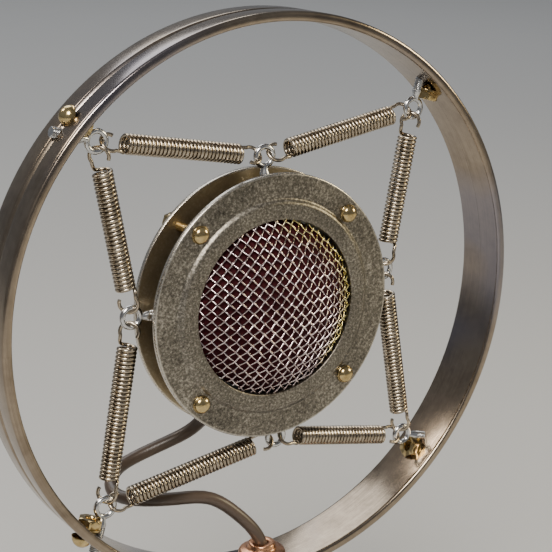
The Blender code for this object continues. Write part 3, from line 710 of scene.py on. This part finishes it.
def grilleLines(settings):
    quarter, reach, radius = netPoints(settings)
    fine, lines = settings["fine"], []
    centre = settings["baseHeight"] + settings["rise"] - radius
    turn = Matrix.Rotation(pi / 4, 3, "Z")
    for family in (0, 1):
        for row in range(-(reach // fine) * fine, reach + 1, fine):
            line = []
            for along in range(-reach, reach + 1):
                i, j = (along, row) if family == 0 else (row, along)
                point = quarter[abs(i), abs(j)].copy()
                point.x *= -1 if i < 0 else 1
                point.y *= -1 if j < 0 else 1
                wave = cos(pi * along / fine + pi * row / fine) * (1 if family == 0 else -1)
                point = turn @ point * (radius + wave * settings["wire"] * 0.98)
                point.z += centre
                if sqrt(point.x**2 + point.y**2) <= settings["trim"] and point.z > 0.003:
                    line.append(point)
            if len(line) > 3:
                lines.append(line)
    return lines


def addGrilles(settings):
    lines = grilleLines(settings)
    for name, facing in (("front", Matrix()), ("rear", Matrix.Rotation(pi, 4, "Y"))):
        mesh = wire(name + "Grille", lines, settings["wire"], settings["sides"], meshWire, standUp @ facing)
        keep(mesh, "capsule", meshWire, name + "_grille")
    radius = (settings["base"] ** 2 + settings["rise"] ** 2) / (2 * settings["rise"])
    centre = settings["baseHeight"] + settings["rise"] - radius
    dome, edge = radius - settings["clothDrop"], settings["clothRadius"]
    arc = [0.66 * i / 24 for i in range(25)]
    outline = [(dome * sin(a), centre + dome * cos(a)) for a in arc if dome * sin(a) < edge]
    outline.append((edge, settings["clothFoot"]))
    shell = outline + [(r * 0.985, h - settings["clothWall"]) for r, h in reversed(outline)]
    for name, facing in (("front", Matrix()), ("rear", Matrix.Rotation(pi, 4, "X"))):
        cloth = turned(name + "Cloth", shell, 96, innerCloth, standUp @ facing)
        keep(cloth, "capsule", innerCloth, name + "_cloth")


# Plate screws: polished domes in front, plain shanks between the plates and nuts behind
screwSettings = {"circle": 0.0340, "shank": 0.0014, "head": 0.0026, "headHeight": 0.0021, "tail": 0.0036}


def addPlateScrews(settings):
    front = abs(plateHigh.y) + plateSettings["thickness"]
    head, height = settings["head"], settings["headHeight"]
    outline = [(0, front + height)]
    for i in range(1, 9):
        a = (pi / 2) * i / 8
        outline.append((head * 0.96 * sin(a), front + 0.0005 + (height - 0.0005) * cos(a)))
    shank, tail = settings["shank"], -front - settings["tail"]
    outline += [(head, front + 0.0004), (head, front + 0.0001), (shank, front + 0.0001), (shank, tail + 0.0002),
                (shank - 0.0003, tail), (0, tail)]
    screws = fourRound("plateScrews", turnedMesh(outline, 40), settings["circle"], diagonal, brass)
    keep(screws, "capsule", brass, *(f"plate_screw_{i}" for i in range(1, 5)))
    nut = nutMesh({**nutSettings, "bore": shank})
    nut.transform(Matrix.Translation((0, 0, -front - 0.0002)) @ Matrix.Rotation(-pi / 2, 4, "Y"))
    nuts = fourRound("plateNuts", nut, settings["circle"], diagonal, brass)
    keep(nuts, "capsule", brass, *(f"plate_nut_{i}" for i in range(1, 5)))


# Springs: one wire each, close wound, with an open hook through an eye at both ends
springSettings = {"wire": 0.00052, "coil": 0.00235, "barrel": 0.0081, "pitch": 0.00115, "hook": 0.0026, "tip": 0.00145,
                  "turned": 42, "hookOpens": 62, "bendTurns": 58, "held": 0.006, "perTurn": 20, "sides": 10}


def springLine(span, side, settings):
    coil, barrel, hook = settings["coil"], settings["barrel"], settings["hook"]
    lean = radians(settings["turned"]) * side
    centre = settings["tip"] + hook
    opens, bendTurns = settings["hookOpens"], radians(settings["bendTurns"])
    end = []
    for i in range(25):
        # From the open end, round the tip, to where it meets the coil
        a = radians(360 - opens - i * (360 - 2 * opens) / 24)
        end.append((centre + hook * cos(a), hook * sin(a)))
    # In the hook's own plane: x along the spring, then a distance from the axis and the turn about it
    left = [(x, w * cos(lean), w * sin(lean)) for x, w in end]
    startTurn = lean + bendTurns
    bend = []
    x0, w0 = end[-1]
    for i in range(1, 8):
        t = i / 8
        smooth = t * t * (3 - 2 * t)
        away = w0 + (coil - w0) * smooth
        turn = lean + (startTurn - lean) * t * t
        bend.append((x0 + (barrel - x0) * (1 - (1 - t) ** 2), away * cos(turn), away * sin(turn)))
    left += bend
    turns = round((span - 2 * barrel) / settings["pitch"])
    count = turns * settings["perTurn"]
    # The coil ends so that the second hook lies in the same plane as the first
    total = 2 * pi * turns - 2 * bendTurns + pi
    wound = []
    for i in range(count + 1):
        t = i / count
        turn = startTurn + total * t
        wound.append((barrel + (span - 2 * barrel) * t, coil * cos(turn), coil * sin(turn)))
    # The far end is the near end turned half a turn about the upright of the hook's plane
    flip = Matrix.Rotation(lean, 3, "X") @ Matrix.Rotation(pi, 3, "Z") @ Matrix.Rotation(-lean, 3, "X")
    right = [flip @ Vector(p) + Vector((span, 0, 0)) for p in reversed(left)]
    return [Vector(p) for p in left + wound] + right


def addSprings(settings):
    number = 0
    for corner in range(4):
        ringAngle = radians(45 + 90 * corner)
        for side in (0, 1):
            number += 1
            target = radians(eyeSettings["capsuleTurns"][(corner + side) % 4])
            start = Vector((eyeSettings["ringAt"] * cos(ringAngle), 0, eyeSettings["ringAt"] * sin(ringAngle)))
            end = Vector((eyeSettings["capsuleAt"] * cos(target), 0, eyeSettings["capsuleAt"] * sin(target)))
            along = (end - start).normalized()
            lean = -1 if 0.52 * along.z + 0.28 * along.x > 0 else 1
            line = springLine((end - start).length, lean, settings)
            # Its axes: along it, across it in the ring's plane, and to the rear
            axes = Matrix((along, Vector((0, 1, 0)).cross(along), Vector((0, 1, 0)))).transposed().to_4x4()
            spring = wire(f"spring{number}", [line], settings["wire"], settings["sides"], springSteel,
                          Matrix.Translation(ringCentre + start) @ axes)
            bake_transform(spring)
            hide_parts(f"spring_{number}")


# The capsule's cable, from the rear plate round to the gland in the ring
cableSettings = {"radius": 0.0019, "leaves": (-0.0095, -0.032794), "spacing": 0.0008, "sides": 24}
cableRoute = [
    (-0.0095, 0.0020, -0.032794), (-0.0095, 0.0054, -0.032794), (-0.0095, 0.0090, -0.032794),
    (-0.0095, 0.0130, -0.034494), (-0.0095, 0.0170, -0.038494), (-0.0120, 0.0205, -0.0435),
    (-0.0180, 0.0240, -0.0470), (-0.0265, 0.0260, -0.0500), (-0.0345, 0.0255, -0.0520), (-0.0390, 0.0215, -0.0545),
    (-0.0405, 0.0160, -0.0555), (-0.0390, 0.0110, -0.0555), (-0.0345, 0.0070, -0.0555), (-0.0265, 0.0045, -0.0560),
    (-0.0160, 0.0030, -0.0565), (-0.0090, 0.0015, -0.0625), (-0.0030, 0.0000, -0.0690), (-0.0006, 0.0, -0.07349),
    (0.0, 0.0, -0.07569),
]


def addCable(settings):
    points = [ringCentre + p for p in splined(cableRoute, settings["spacing"])]
    length = sum((b - a).length for a, b in zip(points, points[1:]))
    cable = wire("capsuleCable", [points], settings["radius"], settings["sides"], cableJacket)
    tuple(points[-1] + Vector((0, 0, 0.004)))
    tuple(points[0] - Vector((0, 0, 0.003)))
    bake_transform(cable)
    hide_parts("capsule_cable")
    x, z = settings["leaves"]
    outside = abs(plateHigh.y) + plateSettings["thickness"]
    collar = [(0.0020, outside - 0.0008, 0), (0.0034, outside + 0.0002, 0), (0.0034, outside + 0.0010, 0.0004),
              (0.0027, outside + 0.0017, 0.0003), (0.0020, outside + 0.0017, 0.0002)]
    grommet = turned("cableGrommet", softened(collar), 40, blackPlastic,
                     Matrix.Translation(ringCentre + Vector((x, 0, z))) @ Matrix.Rotation(-pi / 2, 4, "X"), True)
    keep(grommet, "capsule", blackPlastic, "cable_grommet")


# The gland where the cable goes through the ring
glandSettings = {"flange": 0.0070, "neck": 0.0036, "height": 0.0045, "bore": 0.0020}


def addGland(settings):
    seat = -(ringOuter - hoopSettings["wall"]) + 0.0006
    bore, neck, flange = settings["bore"], settings["neck"], settings["flange"]
    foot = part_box("cable_gland")[0].z - ringCentre.z
    outline = softened([
        (neck + 0.0004, seat + settings["height"], 0.0006), (neck + 0.0006, seat + settings["height"] * 0.60, 0.0008),
        (flange * 0.93, seat + settings["height"] * 0.50, 0.0005), (flange, seat + settings["height"] * 0.34, 0.0004),
        (flange, seat, 0.0002), (neck, seat, 0), (neck, foot, 0.0002), (bore, foot, 0),
        (bore, seat + settings["height"], 0.0006),
    ])
    gland = turned("cableGland", outline, 72, copper, Matrix.Translation(ringCentre), True)
    keep(gland, "head", copper, "cable_gland")


# CAD shapes that are right as they are, with joined faces, small rounded edges and a finish
def refined(node, finish, body, rounding):
    source = frame["nodes"][node]
    mesh = source.data.copy()
    shape = bmesh.new()
    shape.from_mesh(mesh)
    bmesh.ops.remove_doubles(shape, verts=shape.verts, dist=1e-6)
    bmesh.ops.dissolve_limit(shape, angle_limit=radians(1.5), verts=shape.verts, edges=shape.edges)
    shape.to_mesh(mesh)
    shape.free()
    for leftover in ("custom_normal", "sharp_face", "sharp_edge"):
        if leftover in mesh.attributes:
            mesh.attributes.remove(mesh.attributes[leftover])
    made = bpy.data.objects.new(node + "Source", mesh)
    bpy.context.scene.collection.objects.link(made)
    bevel = made.modifiers.new("edges", "BEVEL")
    bevel.width, bevel.segments, bevel.limit_method, bevel.angle_limit = rounding, 2, "ANGLE", radians(40)
    bevel.harden_normals = False
    words = node.split("_")
    piece = settle(words[0] + "".join(w.capitalize() for w in words[1:]), made, finish, 32)
    return keep(piece, body, finish, node)


# The body: a brushed tube with turned grooves, the stem and its hinge
bodySettings = {"groove": 0.0004, "grooves": (0.0050, 0.0062), "wall": 0.0015, "knurls": 40, "knurlDepth": 0.00035,
                "knobSeat": 0.0096, "leadBend": 0.006}


def addBody(settings):
    low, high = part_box("body_tube")
    radius, half, groove = high.x, high.z, settings["groove"]
    outer = []
    first, second = settings["grooves"]
    for place in (half - first, half - second, -half + second, -half + first):
        outer += [(radius, place + groove * 0.7, 0), (radius - groove, place + groove * 0.3, 0),
                  (radius - groove, place - groove * 0.3, 0), (radius, place - groove * 0.7, 0)]
    inner = radius - settings["wall"]
    outline = softened([(radius, half, 0.0003), *outer, (radius, -half, 0.0003), (inner, -half, 0), (inner, half, 0)])
    tube = turned("bodyTube", outline, 160, bodyCopper, Matrix(), True)
    keep(tube, "body", bodyCopper, "body_tube")
    knobLow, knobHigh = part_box("lock_screw")
    seat, end, rim = hinge.x + settings["knobSeat"], knobHigh.x, (knobHigh.z - knobLow.z) / 2
    outline = softened([
        (0, end - 0.0006, 0), (rim * 0.45, end - 0.0006, 0), (rim * 0.55, end, 0), (rim - 0.0010, end, 0.0004),
        (rim, end - 0.0009, 0.0003), (rim, seat + 0.0016, 0.0003), (rim - 0.0020, seat + 0.0002, 0.0004),
        (0.0020, seat + 0.0002, 0), (0.0020, knobLow.x, 0.0003), (0, knobLow.x, 0),
    ])
    toSide = Matrix.Translation((0, 0, hinge.z)) @ Matrix.Rotation(pi / 2, 4, "Y")
    knob = turned("lockScrew", outline, 240, brass, toSide, flutes=settings["knurls"],
                  fluteDepth=settings["knurlDepth"], fluteRange=(seat + 0.0012, end - 0.0008))
    keep(knob, "lock_screw", brass, "lock_screw")
    refined("ring_stem", copper, "head", 0.0004)
    refined("fork_cap", capBrass, "body", 0.0003)
    refined("hinge_screw", brass, "body", 0.0002)
    refined("connector_collar", capBrass, "body", 0.0003)
    refined("connector_insert", blackPlastic, "body", 0.0003)
    refined("collar_screw", darkMetal, "body", 0.0002)
    for number in range(1, 4):
        refined(f"connector_pin_{number}", brightZinc, "body", 0.0004)
    refined("circuit_board", boardGreen, "body", 0.0001)
    refined("output_transformer", darkMetal, "body", 0.0003)
    refined("coupling_capacitor", blackPlastic, "body", 0.0004)
    low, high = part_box("stem_lead")
    points = [Vector((0, 0, low.z + (high.z - low.z) * i / 40)) for i in range(41)]
    lead = wire("stemLead", [points], cableSettings["radius"], cableSettings["sides"], cableJacket)
    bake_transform(lead)
    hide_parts("stem_lead")


# Inside the capsule: the cell, its diaphragms and clamp rings
def addCell():
    for node, finish in (("cell_body", brass), ("front_diaphragm", gold), ("rear_diaphragm", gold),
                         ("front_clamp_ring", brass), ("rear_clamp_ring", brass)):
        refined(node, finish, "capsule", 0.00015)


# Floor and soft studio lights
stageSettings = {"floor": 12.0, "floorColour": (0.56, 0.56, 0.55), "world": 0.22}
lightSettings = {
    "key": {"at": (-0.50, -0.68, 0.99), "size": 0.48, "power": 17, "colour": (1.0, 0.95, 0.88)},
    "back": {"at": (-0.60, 0.72, 1.00), "size": 0.40, "power": 4, "colour": (1.0, 0.90, 0.78)},
    "side": {"at": (1.0, -0.50, 0.50), "size": 0.35, "power": 6, "colour": (1.0, 0.86, 0.55)},
    "wide": {"at": (0.6, 2.5, 3.0), "size": 2.5, "power": 45, "colour": (0.96, 0.98, 1.0)},
}


def addStage(settings):
    mesh = bpy.data.meshes.new("floor")
    reach = settings["floor"] / 2
    z = groundZ - 0.0002
    corners = [(-reach, -reach, z), (reach, -reach, z), (reach, reach, z), (-reach, reach, z)]
    mesh.from_pydata(corners, [], [(0, 1, 2, 3)])
    finish = Finish("paleFloor", "", settings["floorColour"], 0.8, 0.0)
    haze = finish.noise(finish.place(), 1.5, 3.0)
    pale = settings["floorColour"]
    finish.give("Base Color", finish.mix(haze, pale, tuple(c * 0.96 for c in pale)))
    newPiece("floor", mesh, finish)
    world = bpy.data.worlds.new("studio")
    world.use_nodes = True
    backdrop = world.node_tree.nodes["Background"]
    backdrop.inputs["Color"].default_value = (0.9, 0.93, 1.0, 1)
    backdrop.inputs["Strength"].default_value = settings["world"]
    bpy.context.scene.world = world


def addLights(lights):
    for name, light in lights.items():
        data = bpy.data.lights.new(name, "AREA")
        data.shape, data.size, data.energy, data.color = "DISK", light["size"], light["power"], light["colour"]
        lamp = bpy.data.objects.new(name, data)
        bpy.context.scene.collection.objects.link(lamp)
        at = Vector(light["at"])
        lamp.matrix_world = Matrix.Translation(at) @ (at - ringCentre).to_track_quat("Z", "Y").to_matrix().to_4x4()


addCable(cableSettings)
print("cable made")
addHoops(hoopSettings)
addEyes(eyeSettings)
addRingNuts(nutSettings)
print("ring made")
addPlates(plateSettings)
addGrilles(grilleSettings)
addPlateScrews(screwSettings)
addCell()
print("capsule made")
addSprings(springSettings)
print("springs made")
addGland(glandSettings)
addBody(bodySettings)
print("body made")
addStage(stageSettings)
addLights(lightSettings)
print("stage set")
